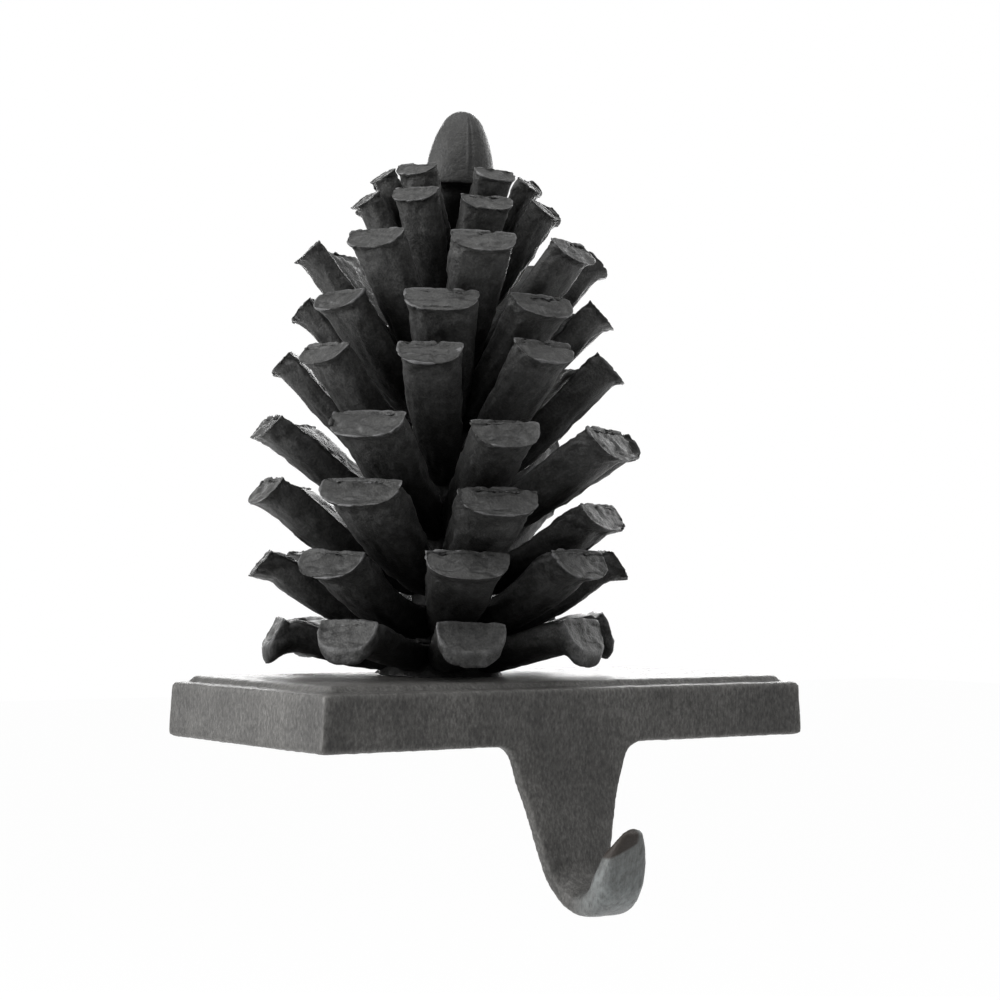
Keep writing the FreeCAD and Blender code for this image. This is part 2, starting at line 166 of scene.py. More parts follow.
def sandCastIron(name, dark, mid, light, rubbedAndHighlit, kind=None):
    # blackened sand-cast iron: a dull, gritty dark grey, paler where its edges are rubbed, partly a painted
    # highlight along them
    material = bpy.data.materials.new(name)
    material.use_nodes = True
    tree = material.node_tree
    shader = tree.nodes["Principled BSDF"]
    place = addNode(tree, "ShaderNodeTexCoord").outputs["Object"]
    grainPlace, pitSize, pitShare = place, castIron["pitSize"], castIron["pitShare"]
    if kind == "plate":
        pitSize, pitShare = castIron["platePitSize"], castIron["platePitShare"]
        grainPlace = addNode(tree, "ShaderNodeMapping", {"Scale": (1.0, 1.0, castIron["plateStretch"])},
                             {"Vector": place}).outputs["Vector"]
    patterns = []
    for size, detail, roughness in ((castIron["gritSize"], 2.0, 0.6), (pitSize, 4.0, 0.62),
                                    (castIron["patchSize"], 3.0, 0.55)):
        settings = {"Scale": 1 / (size * mm), "Detail": detail, "Roughness": roughness}
        patterns.append(addNode(tree, "ShaderNodeTexNoise", settings, {"Vector": grainPlace}).outputs["Fac"])
    grit, pits, patches = patterns

    # the grain's colour, with the patches over it
    part = addNode(tree, "ShaderNodeMath", {**multiply, 1: pitShare}, {0: pits}).outputs["Value"]
    mixed = addNode(tree, "ShaderNodeMath", {"operation": "MULTIPLY_ADD", 1: 1 - pitShare},
                    {0: grit, 2: part}).outputs["Value"]
    ramps = []
    for source, places, colours in ((mixed, castIron["grainPlaces"], (dark, mid, light)),
                                    (patches, castIron["patchPlaces"], castIron["patchColours"])):
        stops = {"stops": list(zip(places, colours))}
        ramps.append(addNode(tree, "ShaderNodeValToRGB", stops, {"Fac": source}).outputs["Color"])
    colour = addNode(tree, "ShaderNodeMix", {**tint, "Factor": castIron["patchShare"]},
                     {6: ramps[0], 7: ramps[1]}).outputs[2]
    if kind == "cone":
        endFace = addNode(tree, "ShaderNodeAttribute", {"attribute_name": "endFace"}).outputs["Fac"]
        tone = addNode(tree, "ShaderNodeMapRange", {"To Min": 1.0, "To Max": castIron["endFaceTone"]},
                       {"Value": endFace}).outputs["Result"]
        colour = addNode(tree, "ShaderNodeMix", tint, {6: colour, 7: tone}).outputs[2]

    # edges are rubbed paler, partly a painted highlight, the hook is worn paler, partly a painted glint, and the
    # cone's depth and the bud's neck get painted shade
    sharp = {"From Min": castIron["edgeStart"], "From Max": castIron["edgeEnd"], "To Max": castIron["edgeRubAndHighlight"]}
    edge = addNode(tree, "ShaderNodeMapRange", sharp,
                   {"Value": addNode(tree, "ShaderNodeNewGeometry").outputs["Pointiness"]}).outputs["Result"]
    # edges: partly rubbed paler, partly a painted highlight
    rubAndHighlight = addNode(tree, "ShaderNodeMath", multiply, {0: edge, 1: pits}).outputs["Value"]
    colour = addNode(tree, "ShaderNodeMix", {"data_type": "RGBA", 7: toLinear(rubbedAndHighlit)},
                     {"Factor": rubAndHighlight, 6: colour}).outputs[2]
    if kind == "plate":
        colour = wornAndGlintHook(tree, place, colour, pits)
    elif kind:
        # painted shade: the cone's depth and the bud's neck are darkened
        paintedShade = (paintedConeShade(tree, place) if kind == "cone"
                     else overlap(tree, [(alongRod(tree, place)[1], budNeckShade)]))
        colour = addNode(tree, "ShaderNodeMix", tint, {6: colour, 7: paintedShade}).outputs[2]
        # the specular follows the same painted shade, so the shaded depth is matt as well
        specular = addNode(tree, "ShaderNodeMapRange", {"To Max": castIron["highSpecular"]},
                           {"Value": paintedShade}).outputs["Result"]
        tree.links.new(specular, shader.inputs["Specular IOR Level"])
    tree.links.new(colour, shader.inputs["Base Color"])
    shader.inputs["Metallic"].default_value = castIron["metallic"]
    span = {"To Min": castIron["lowRoughness"], "To Max": castIron["highRoughness"]}
    rough = addNode(tree, "ShaderNodeMapRange", span, {"Value": pits}).outputs["Result"]
    tree.links.new(rough, shader.inputs["Roughness"])
    pitBump = addNode(tree, "ShaderNodeBump", {"Strength": castIron["bumpStrength"],
                                               "Distance": castIron["pitDepth"] * mm}, {"Height": pits})
    gritBump = addNode(tree, "ShaderNodeBump", {"Strength": castIron["bumpStrength"],
                                                "Distance": castIron["gritDepth"] * mm},
                       {"Height": grit, "Normal": pitBump.outputs["Normal"]})
    tree.links.new(gritBump.outputs["Normal"], shader.inputs["Normal"])
    return material


plateIron = sandCastIron("blackenedPlateIron", "#363534", "#4a4947", "#605f5d", "#94928f", "plate")
coneIron = sandCastIron("blackenedConeIron", "#232323", "#3a3a39", "#545453", "#a2a2a4", "cone")
budIron = sandCastIron("blackenedBudIron", "#181818", "#242423", "#383837", "#5c5c5c", "bud")
# plain steel, a lighter and more even grey
nutSteel = sandCastIron("plainNutSteel", "#6a6a6a", "#7c7c7c", "#8e8e8e", "#b0b0b0")
print("materials ready")


def cleaned(bm):
    bmesh.ops.remove_doubles(bm, verts=bm.verts, dist=0.01 * mm)
    bmesh.ops.recalc_face_normals(bm, faces=bm.faces)


def finishPiece(name, bm, material, nodes):
    cleaned(bm)
    mesh = bpy.data.meshes.new(name)
    bm.to_mesh(mesh)
    bm.free()
    mesh.polygons.foreach_set("use_smooth", [True] * len(mesh.polygons))
    piece = bpy.data.objects.new(name, mesh)
    bpy.context.scene.collection.objects.link(piece)
    piece.data.materials.append(material)
    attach(piece, "root")
    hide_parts(*nodes)
    return piece


def blendTo(first, last, share):
    return first + (last - first) * share


def roundedLoop(count, squareness):
    # a loop that fills -0.5 to 0.5 in x and y, from a rectangle (near 0) to an ellipse (1)
    loop = []
    for step in range(count):
        angle = 2 * math.pi * (step + 0.5) / count
        side, rise = math.cos(angle), math.sin(angle)
        loop.append(Vector((math.copysign(abs(side) ** squareness, side) / 2,
                            math.copysign(abs(rise) ** squareness, rise) / 2, 0)))
    return loop


def loft(bm, rings):
    # a closed skin over rings with the same number of points
    rows = [[bm.verts.new(spot) for spot in ring] for ring in rings]
    for lower, upper in zip(rows, rows[1:]):
        for index in range(len(lower)):
            bm.faces.new((lower[index - 1], lower[index], upper[index], upper[index - 1]))
    bm.faces.new(rows[0])
    bm.faces.new(rows[-1])


def sweep(bm, first, places):
    # carries a capped loop from place to place; each place is a matrix from the unit loop
    bmesh.ops.transform(bm, matrix=places[0], verts=first)
    cap = next(face for face in bm.faces if face.is_valid and all(v in set(first) for v in face.verts))
    if cap.normal.dot(places[1].translation - places[0].translation) < 0:
        cap.normal_flip()
    base = bmesh.ops.duplicate(bm, geom=[cap])["geom"]
    start = next(item for item in base if isinstance(item, bmesh.types.BMFace))
    start.normal_flip()
    for before, after in zip(places, places[1:]):
        extruded = bmesh.ops.extrude_face_region(bm, geom=[cap])["geom"]
        bmesh.ops.delete(bm, geom=[cap], context="FACES_ONLY")
        cap = next(item for item in extruded if isinstance(item, bmesh.types.BMFace))
        bmesh.ops.transform(bm, matrix=after @ before.inverted(), verts=cap.verts)
    return cap


def modified(bm, kind, **settings):
    # the mesh as one modifier leaves it
    mesh = bpy.data.meshes.new("cage")
    cleaned(bm)
    bm.to_mesh(mesh)
    bm.free()
    cage = bpy.data.objects.new("cage", mesh)
    bpy.context.scene.collection.objects.link(cage)
    change = cage.modifiers.new("change", kind)
    for name, setting in settings.items():
        setattr(change, name, setting)
    evaluated = cage.evaluated_get(bpy.context.evaluated_depsgraph_get())
    made = bmesh.new()
    made.from_mesh(evaluated.to_mesh())
    evaluated.to_mesh_clear()
    bpy.data.objects.remove(cage)
    bpy.data.meshes.remove(mesh)
    return made


# the sand mould's uneven skin: finer and broader waves over the main ones, each mesh with its own
castSkin = {"fineShare": 0.6, "fineScale": 2.1, "broadShare": 0.5, "broadScale": 0.3,
            "seedSteps": (3.7, 1.3, 5.1)}


def roughen(bm, size, depth, seed, stretch=(1, 1, 1)):
    # the skin as real relief; size and depth in mm
    bm.normal_update()
    shift = Vector([seed * step for step in castSkin["seedSteps"]])
    for vert in bm.verts:
        spot = Vector([c / (size * mm) * s for c, s in zip(vert.co, stretch)]) + shift
        lift = (noise.noise(spot) + castSkin["fineShare"] * noise.noise(spot * castSkin["fineScale"]) +
                castSkin["broadShare"] * noise.noise(spot * castSkin["broadScale"]))
        vert.co += vert.normal * lift * depth * mm


# bracket: one casting, the plate with the hook under its front edge; mm, degrees and shares
bracketForm = {
    "length": 140.0, "depth": 76.4, "height": 13.3, "endDraft": 0.9,
    "cornerRound": 0.9, "edgeRound": 1.1,
    "stepInset": 4.3, "stepHeight": 1.5, "stepRound": 0.5, "stepSunk": 4.0,
    "tongueOffset": -2.0, "tongueWidth": 34.0, "tongueTaper": 17.5, "tongueDrop": 9.0,
    "tongueThickness": 4.2, "tongueFillet": 5.0, "rootUp": 0.4, "rootRise": 0.3,
    "hookLean": 9.5, "shankLength": 19.5, "shankWidth": 17.8, "shankTaper": 0.85,
    "bendRadius": 9.1, "bendWidth": 12.6, "bendThickness": 5.2, "bendSteps": 14,
    "prongLean": 23.0, "prongLength": 13.4, "prongWidth": 12.6, "prongSide": -1.0, "prongThickness": 6.9,
    "tipWidth": 5.4, "tipThickness": 2.6, "tipTaper": 2.2,
    "tipWhole": 0.78, "tipCut": 0.4, "tipCutFrom": 23.0, "tipCutPace": 5.0,
    "loopPoints": 28, "flatness": 0.24, "roundness": 0.7, "roundFrom": 60.0, "roundOver": 90.0,
    "voxel": 0.62, "softening": 0.5, "grainSize": 2.1, "grainDepth": 0.11, "grainStretch": (1, 1, 0.5),
}


def hookPlaces(form):
    # (back, up, turned, width, thickness) from inside the plate to the prong's tip, in mm
    taper, fillet = math.radians(form["tongueTaper"]), form["tongueFillet"]
    root = form["tongueWidth"] / 2 + fillet * (1 - math.sin(taper)) / math.cos(taper)
    neck = form["tongueWidth"] / 2 - form["tongueDrop"] * math.tan(taper)
    middle, thick = form["tongueThickness"] / 2, form["tongueThickness"]
    rows = [(middle, form["height"] * form["rootUp"], 0.0, 2 * root, thick),
            (middle, form["rootRise"], 0.0, 2 * root, thick)]
    for share in (0.2, 0.4, 0.6, 0.8, 1.0):
        angle = (math.pi / 2 - taper) * share
        rows.append((middle, -fillet * (1 - math.cos(angle)), 0.0, 2 * (root - fillet * math.sin(angle)), thick))
    rows.append((middle, -form["tongueDrop"], 0.0, 2 * neck, thick))
    lean, radius = form["hookLean"], form["bendRadius"]

    def way(turned):
        return Vector((-math.sin(math.radians(turned)), -math.cos(math.radians(turned))))

    neckPlace = Vector((middle, -form["tongueDrop"]))
    for share in (0.25, 0.5, 0.75, 1.0):
        place = neckPlace + way(lean) * form["shankLength"] * share
        width = blendTo(2 * neck, form["shankWidth"], share ** form["shankTaper"])
        rows.append((*place, lean, width, thick))
    centre = place + way(lean + 90) * radius
    sweepAngle, steps = 180 - lean - form["prongLean"], form["bendSteps"]
    for step in range(1, steps + 1):
        share = step / steps
        turned = lean + sweepAngle * share
        place = centre - way(turned + 90) * radius
        if share <= 0.5:
            width = blendTo(form["shankWidth"], form["bendWidth"], math.sin(math.pi * share))
            depth = blendTo(thick, form["bendThickness"], 2 * share)
        else:
            width = blendTo(form["bendWidth"], form["prongWidth"], 2 * share - 1)
            depth = blendTo(form["bendThickness"], form["prongThickness"], math.sin(math.pi * (share - 0.5)))
        rows.append((*place, turned, width, depth))
    for share in (0.2, 0.4, 0.6, 0.8, 0.93, 1.0):
        tip = place + way(turned) * form["prongLength"] * share
        width = blendTo(form["prongWidth"], form["tipWidth"], share ** form["tipTaper"])
        depth = blendTo(form["prongThickness"], form["tipThickness"], share)
        rows.append((*tip, turned, width, depth))
    return rows


def bracketShells(form):
    bm = bmesh.new()
    half = [form[key] * mm / 2 for key in ("length", "depth", "height")]
    box = bmesh.ops.create_cube(bm, size=1.0)["verts"]
    bmesh.ops.scale(bm, vec=[2 * side for side in half], verts=box)
    bmesh.ops.translate(bm, vec=(0, 0, half[2]), verts=box)
    for vert in box:
        if vert.co.z > half[2]:
            vert.co.x -= math.copysign(form["endDraft"] * mm, vert.co.x)
    upright = [e for e in bm.edges if abs(e.verts[0].co.z - e.verts[1].co.z) > half[2]]
    bmesh.ops.bevel(bm, geom=upright, offset=form["cornerRound"] * mm, offset_type="OFFSET", segments=4,
                    profile=0.5, affect="EDGES", material=-1)
    flat = [e for e in bm.edges if abs(e.verts[0].co.z - e.verts[1].co.z) < 0.001 * mm]
    bmesh.ops.bevel(bm, geom=flat, offset=form["edgeRound"] * mm, offset_type="OFFSET", segments=5,
                    profile=0.5, affect="EDGES", material=-1)

    # the step is a second slab, sunk into the first
    inset, rise, sunk = (form[key] * mm for key in ("stepInset", "stepHeight", "stepSunk"))
    slab = bmesh.ops.create_cube(bm, size=1.0)["verts"]
    bmesh.ops.scale(bm, vec=(2 * (half[0] - inset), 2 * (half[1] - inset), rise + sunk), verts=slab)
    bmesh.ops.translate(bm, vec=(0, 0, 2 * half[2] + rise / 2 - sunk / 2), verts=slab)
    rim = [e for e in bm.edges if all(v in set(slab) for v in e.verts) and
           min(v.co.z for v in e.verts) > 2 * half[2]]
    bmesh.ops.bevel(bm, geom=rim, offset=form["stepRound"] * mm, offset_type="OFFSET", segments=3,
                    profile=0.5, affect="EDGES", material=-1)

    # the hook is flat in section on the tongue and round on the prong
    rings = []
    for back, up, turned, width, thick in hookPlaces(form):
        bent = min(1.0, max(0.0, turned - form["roundFrom"]) / form["roundOver"])
        side = form["tongueOffset"] + form["prongSide"] * bent
        place = Matrix.Translation((side * mm, -half[1] + back * mm, up * mm))
        size = Matrix.Diagonal((width * mm, thick * mm, 1, 1))
        place = place @ Matrix.Rotation(math.radians(-turned), 4, "X") @ size
        loop = roundedLoop(form["loopPoints"], blendTo(form["flatness"], form["roundness"], bent))
        # the prong's tip is cut off at a slant on the inner left
        cut = max(0.0, 1 + up / form["tipCutFrom"]) if turned > 90 else 0.0
        limit = blendTo(form["tipWhole"], form["tipCut"], min(1.0, form["tipCutPace"] * cut))
        for spot in loop:
            over = max(0.0, (-spot.x - spot.y - limit) / 2)
            spot.x, spot.y = spot.x + over, spot.y + over
        rings.append([place @ spot for spot in loop])
    loft(bm, rings)
    cleaned(bm)
    return bm


def makeBracket(form):
    # the shells become one skin, as in a casting
    bm = modified(bracketShells(form), "REMESH", mode="VOXEL", voxel_size=form["voxel"] * mm)
    bm = modified(bm, "SMOOTH", factor=form["softening"], iterations=1)
    roughen(bm, form["grainSize"], form["grainDepth"], 1, form["grainStretch"])
    return finishPiece("bracket_casting", bm, plateIron, ["base_bracket"])


bracket = makeBracket(bracketForm)
print("bracket made,", len(bracket.data.vertices), "points")


# pine cone: whorls of eight scales, each cast in one and turned on the rod
coneForm = {"scales": 8, "hubAcross": 16.0, "hubSides": 32, "rimRound": 0.4, "footAcross": 32.8, "footHeight": 5.2,
            "footLift": 0.05, "footSides": 56, "footTop": 0.72, "rod": 5.0, "rootWidth": 7.5, "seed": 40}

# for each whorl: hub height, tip radius and rise, tip width and height, slope of the stem and
# of the head, slope that the end face looks up at, thickness, turn; in mm and degrees
whorlForms = [
    (8.0, 43.2, 9.0, 16.6, 11.8, 20.0, 8.0, 27.0, 6.8, 22.3),
    (9.3, 45.8, 19.5, 19.0, 8.6, 44.0, 12.0, 38.0, 8.0, 20.1),
    (12.6, 46.6, 26.2, 20.0, 8.6, 41.0, 22.0, 38.0, 8.6, 31.5),
    (13.0, 47.2, 29.8, 18.4, 8.6, 38.0, 30.0, 40.0, 7.6, 29.5),
    (13.0, 41.6, 34.4, 16.4, 8.0, 49.0, 44.0, 44.0, 6.6, 6.5),
    (14.0, 37.7, 35.2, 17.3, 8.0, 50.0, 44.0, 44.0, 6.4, 8.0),
    (15.0, 37.3, 34.8, 15.5, 7.4, 53.0, 47.0, 44.0, 6.2, 24.8),
    (14.0, 25.2, 32.6, 12.2, 6.0, 60.0, 56.0, 48.0, 4.8, 33.6),
    (11.0, 20.4, 24.8, 10.4, 5.2, 62.0, 58.0, 50.0, 4.4, 34.6),
]
# how the scales of each whorl stand off its mean, counted to the right from the one that faces
# the camera: turn in degrees, reach and lift in mm, shares of the width and of the thickness
scalePlaces = [
    {-3: (0, 0, -1.6, 1, 1), -2: (0, 0, -1.5, 1, 1.1), -1: (2.0, 0, 0.2, 1, 1), 0: (0, 0, 0.8, 1, 1),
     1: (0, 0, 1.5, 1, 1.12), 2: (0, 0, 1.9, 1, 1.12), 3: (0, 0, 1.5, 1, 1)},
    {-3: (0, 0, -1.0, 1, 1), -2: (0, 0.5, -1.0, 1, 1), -1: (1, 0, -0.6, 1, 1), 0: (-1, 0, 0.5, 1.06, 1),
     1: (-6, -0.5, 1.4, 1, 1), 2: (0, -1.8, 1.8, 1, 1.1)},
    {-2: (0, 0.8, 0.4, 1, 1), -1: (-0.5, 0, 0.5, 1.06, 1), 0: (-3.7, 0, -0.8, 1, 1),
     1: (-3, -2.4, -2.8, 1, 0.95), 2: (0, -2.6, -2.7, 1, 1)},
    {-2: (0, -0.3, -0.2, 1, 0.92), -1: (3.2, 0, 0, 1.06, 1), 0: (-0.6, 0, -1.3, 0.92, 1),
     1: (-4, -0.2, -1.2, 1.05, 1.22)},
    {-2: (0, 1.2, -0.8, 1, 1), -1: (2.8, 0, -0.3, 1, 1), 0: (-1.2, 0, -0.4, 0.96, 1),
     1: (-6, 0, 1.5, 1, 1), 2: (0, -1.3, 0.9, 1, 1.3)},
    {-2: (0, 0.3, -1.2, 1, 1), -1: (-0.8, 0, -1.0, 1, 0.9), 0: (-0.5, 0, -1.5, 1.05, 1),
     1: (-5.5, 0, -1.0, 1.02, 1), 2: (0, -0.4, 0.4, 1, 1.15)},
    {-2: (0, 0.9, -1.5, 1, 1), -1: (0.3, 0, -0.3, 1, 1), 0: (-3.2, 0, -0.2, 1.04, 1),
     1: (-3, -1.5, -0.3, 1, 1.1), 2: (0, -1.0, 0.2, 1, 1.15)},
    {-2: (0, 0.3, -0.7, 1, 1.05), -1: (-1.5, 0, -0.8, 1, 1), 0: (-3.8, 0, -1.8, 1.08, 1),
     1: (0, -0.6, -1.2, 1, 1.1)},
    {-3: (0, 0, 0.6, 1, 1), -2: (0, 0.3, -0.5, 1, 1), -1: (-10, 0, 0.2, 1.1, 1), 0: (4.5, 0, -0.3, 1.05, 1),
     1: (0, -0.6, -1.4, 1, 1)},
]
facingScale = 5
# half of a scale's section, as shares of its width and height: flat above, rounded below
scaleSection = [(0.0, 0.0), (0.2, 0.0), (0.38, -0.01), (0.485, -0.05), (0.5, -0.2), (0.485, -0.5),
                (0.42, -0.76), (0.3, -0.91), (0.15, -0.98), (0.0, -1.0)]
scaleLook = {
    "headLength": 0.26,         # of the tip's width
    "neckShare": 0.92,          # of the tip's width
    "widening": 0.75,           # how late the stem widens; 1 is evenly
    "flange": 0.955,            # width behind the end face, of the tip's
    "flangeLift": 0.045, "flangeBack": 0.05, "flangeDrop": 0.3,
    "swellPlace": 0.45, "swellTilt": 0.35, "swellWidth": 0.5,   # between the neck and the end face
    "rimCrease": 0.6, "cornerCrease": 0.55, "cornerBelow": 0.06,
    "faceRing": 0.12, "faceCuts": 5, "faceMiddle": 0.05, "dish": 0.22,
    "lowerLip": 0.32, "lipBack": 2.6,                           # on the lowest whorl only
    "grainSize": 2.4, "grainDepth": 0.21,                       # mm
    "waveSize": 7.0, "waveDepth": 0.3, "waveSeed": 20,          # mm
    "foldSize": 3.6, "foldDepth": 0.42,                         # mm
    "foldWidth": 0.16,          # how wide a furrow is, as a share of its wave's height
    "foldFull": 8.6,            # mm, the height of an end face from which its folds are full
    "lowestFold": 0.4,          # their share on the lowest whorl
    "foldStretch": (0.4, 0.4, 1.2), "foldSteps": (2.9, 4.3, 1.7),
    "fineFold": 0.4, "fineFoldScale": 2.3,
    "unevenTurn": 0.8, "unevenRise": 0.3, "unevenReach": 0.4,   # degrees and mm
}


def onRod(height, turn=0.0):
    foot = Matrix.Translation([rodForm[key] * mm for key in ("side", "back", "up")])
    lean = (Matrix.Rotation(math.radians(rodForm["leanSide"]), 4, "Y") @
            Matrix.Rotation(math.radians(rodForm["leanFront"]), 4, "X"))
    return foot @ lean @ Matrix.Translation((0, 0, height * mm)) @ Matrix.Rotation(math.radians(turn), 4, "Z")


def scaleLoop(bm, outline):
    # a capped loop of the half outline and its mirror
    ring = outline + [(-x, y) for x, y in reversed(outline[1:-1])]
    verts = [bm.verts.new((x, y, 0)) for x, y in ring]
    bm.faces.new(verts)
    return verts


def addScale(bm, number, form, around, own):
    hub, radius, rise, tipWidth, tipHeight, stem, head, face, thick, _ = form
    reach, lift, broad, stout = own
    tipWidth, tipHeight, thick = tipWidth * broad, tipHeight * stout, thick * stout
    stem, head, face = (math.radians(slope) for slope in (stem, head, face))
    faceUp = Vector((-math.sin(face), math.cos(face)))
    root = Vector(((coneForm["rod"] + coneForm["hubAcross"]) / 4, hub / 2 + thick / 2))
    tip = Vector((radius + reach, rise + lift)) + faceUp * tipHeight / 2
    neck = tip - Vector((math.cos(head), math.sin(head))) * scaleLook["headLength"] * tipWidth
    knee = Vector((neck.x - (neck.y - root.y) / math.tan(stem), root.y))
    stations = []
    for share in (0.0, 0.2, 0.4, 0.6, 0.8, 0.95):
        top = root * (1 - share) ** 2 + knee * 2 * share * (1 - share) + neck * share ** 2
        way = (knee - root) * (1 - share) + (neck - knee) * share
        width = blendTo(coneForm["rootWidth"], scaleLook["neckShare"] * tipWidth, share ** scaleLook["widening"])
        stations.append((top, math.atan2(way.y, way.x), thick, width))
    # behind the end face the scale is full below on the lowest whorl, and drawn in on the others
    lip = scaleLook["lowerLip"] if number == 1 else 0.0
    behind = 1.0 if number == 1 else 1.0 - 2 * scaleLook["flangeLift"]
    back = scaleLook["lipBack"] if number == 1 else scaleLook["flangeBack"] * tipWidth
    back = Vector((math.cos(face), math.sin(face))) * back
    swell = scaleLook["swellPlace"]
    stations.append((neck + (tip - neck) * swell, blendTo(head, face, scaleLook["swellTilt"]),
                     blendTo(thick, tipHeight, swell) * behind,
                     blendTo(scaleLook["neckShare"], scaleLook["flange"], scaleLook["swellWidth"]) * tipWidth))
    stations.append((tip - back - faceUp * scaleLook["flangeDrop"], face, tipHeight * behind,
                     scaleLook["flange"] * tipWidth))
    stations.append((tip, face, tipHeight * (1 - lip), tipWidth))
    places = []
    for top, tilt, height, width in stations:
        place = Matrix.Translation((top.x * mm, 0, top.y * mm))
        facing = Matrix.Rotation(math.pi / 2, 4, "Z") @ Matrix.Rotation(math.pi / 2, 4, "X")
        size = Matrix.Diagonal((width * mm, height * mm, 1, 1))
        places.append(around @ place @ Matrix.Rotation(-tilt, 4, "Y") @ facing @ size)
    cap = sweep(bm, scaleLoop(bm, scaleSection), places)
    crease = bm.edges.layers.float["crease_edge"]
    for edge in cap.edges:
        edge[crease] = scaleLook["rimCrease"]
    # the two upper corners stay sharp towards the end
    toUnit = places[-1].inverted()
    outer = sorted(cap.verts, key=lambda vert: ((toUnit @ vert.co).y < -scaleLook["cornerBelow"],
                                                -abs((toUnit @ vert.co).x)))[:2]
    for vert in outer:
        for edge in vert.link_edges:
            if edge not in cap.edges[:]:
                edge[crease] = scaleLook["cornerCrease"]
    bmesh.ops.inset_region(bm, faces=[cap], thickness=scaleLook["faceRing"] * tipHeight * mm,
                           depth=-scaleLook["dish"] * mm)
    # the points of the end face are marked, for its folds and its tone
    older = set(bm.verts)
    gridFace(bm, cap, toUnit)
    endFace = bm.verts.layers.float["endFace"]
    folded = scaleLook["lowestFold"] if number == 1 else min(1.0, tipHeight / scaleLook["foldFull"])
    for vert in bm.verts:
        if vert not in older:
            vert[endFace] = folded


def gridFace(bm, cap, toUnit):
    # slices an end face across from side to side, then each slice along
    ring = sorted(cap.verts, key=lambda vert: (toUnit @ vert.co).y)
    left = [vert for vert in ring if (toUnit @ vert.co).x < -scaleLook["faceMiddle"]]
    right = [vert for vert in ring if (toUnit @ vert.co).x > scaleLook["faceMiddle"]]
    across = []
    for one, other in list(zip(left, right))[1:-1]:
        face = next(f for f in one.link_faces if other in f.verts[:])
        bmesh.utils.face_split(face, one, other)
        across.append(next(e for e in one.link_edges if e.other_vert(one) is other))
    bmesh.ops.subdivide_edges(bm, edges=across, cuts=scaleLook["faceCuts"], use_grid_fill=True)


def foldFaces(bm, seed):
    # cold folds where the iron met in the mould, as wavy furrows across the end faces
    bm.normal_update()
    endFace = bm.verts.layers.float["endFace"]
    shift = Vector([seed * step for step in scaleLook["foldSteps"]])
    for vert in bm.verts:
        if vert[endFace] > 0:
            spot = Vector([c * s for c, s in zip(vert.co, scaleLook["foldStretch"])]) / (scaleLook["foldSize"] * mm)
            spot += shift
            wave = noise.noise(spot) + scaleLook["fineFold"] * noise.noise(spot * scaleLook["fineFoldScale"])
            furrow = max(0.0, 1 - abs(wave) / scaleLook["foldWidth"])
            vert.co -= vert.normal * furrow * vert[endFace] * scaleLook["foldDepth"] * mm


def addDrum(bm, around, radius, low, high, sides, upper=1.0):
    drum = bmesh.ops.create_cone(bm, cap_ends=True, segments=sides, radius1=radius * mm,
                                 radius2=radius * upper * mm, depth=(high - low) * mm)["verts"]
    lift = Matrix.Translation((0, 0, (low + high) / 2 * mm))
    bmesh.ops.transform(bm, matrix=around @ lift, verts=drum)
    rims = [e for e in bm.edges if all(v in set(drum) for v in e.verts) and
            any(len(f.verts) == sides for f in e.link_faces)]
    bmesh.ops.bevel(bm, geom=rims, offset=coneForm["rimRound"] * mm, offset_type="OFFSET", segments=2,
                    profile=0.5, affect="EDGES", material=-1)


def makeWhorl(number, form, level):
    random.seed(coneForm["seed"] + number)
    bm = bmesh.new()
    bm.edges.layers.float.new("crease_edge")
    bm.verts.layers.float.new("endFace")
    centre = onRod(level)
    addDrum(bm, centre, coneForm["hubAcross"] / 2, 0.0, form[0], coneForm["hubSides"])
    if number == 1:
        addDrum(bm, centre, coneForm["footAcross"] / 2, coneForm["footLift"], coneForm["footHeight"],
                coneForm["footSides"], coneForm["footTop"])
    scales = coneForm["scales"]
    for index in range(scales):
        # counted from the scale that faces the camera
        count = (index - facingScale + scales // 2) % scales - scales // 2
        own = scalePlaces[number - 1].get(count, (0, 0, 0, 1, 1))
        turn = form[-1] + 360 / scales * index + own[0] + random.uniform(-1, 1) * scaleLook["unevenTurn"]
        reach = own[1] + random.uniform(-1, 1) * scaleLook["unevenReach"]
        lift = own[2] + random.uniform(-1, 1) * scaleLook["unevenRise"]
        addScale(bm, number, form, onRod(level, turn), (reach, lift, *own[3:]))
    levels = 2
    bm = modified(bm, "SUBSURF", levels=levels, render_levels=levels)
    roughen(bm, scaleLook["grainSize"], scaleLook["grainDepth"], number)
    roughen(bm, scaleLook["waveSize"], scaleLook["waveDepth"], number + scaleLook["waveSeed"])
    foldFaces(bm, number)
    finishPiece(f"cone_whorl_{number}", bm, coneIron, [f"scale_whorl_{number}"])


level = 0.0
for number, form in enumerate(whorlForms, 1):
    makeWhorl(number, form, level)
    level += form[0]
print("whorls made, stack", round(level, 1), "mm high")


# the camera that the bud's tilt is seen from: place in metres, angles in radians, lens in pixels
cameraForm = {"place": (-0.31132, -0.45947, 0.03698), "yaw": 0.599775, "pitch": 0.0391597, "roll": 0.00445283,
              "pixelLens": 2214.24, "imageWidth": 1000, "sensor": 36.0, "nearest": 0.01, "farthest": 50}

# bud on top, cast with the rod through the cone
budForm = {"neck": 8.0, "flareLow": 3.0, "flareHigh": 0.4, "flareOut": 0.6, "height": 32.0, "skirtHeight": 12.4,
           "rodEnd": -5.6, "steps": 96, "tilt": 0.9, "ridgeTurn": -110.0, "ridgeOut": 0.5, "ridgeHalf": 3.2,
           "grooveTurn": -102.0, "grooveIn": 0.3, "ridgeFoot": 13.5, "fadeTop": 5.0, "fadeFoot": 4.0,
           "grainSize": 2.4, "grainDepth": 0.12, "grainSeed": 17}
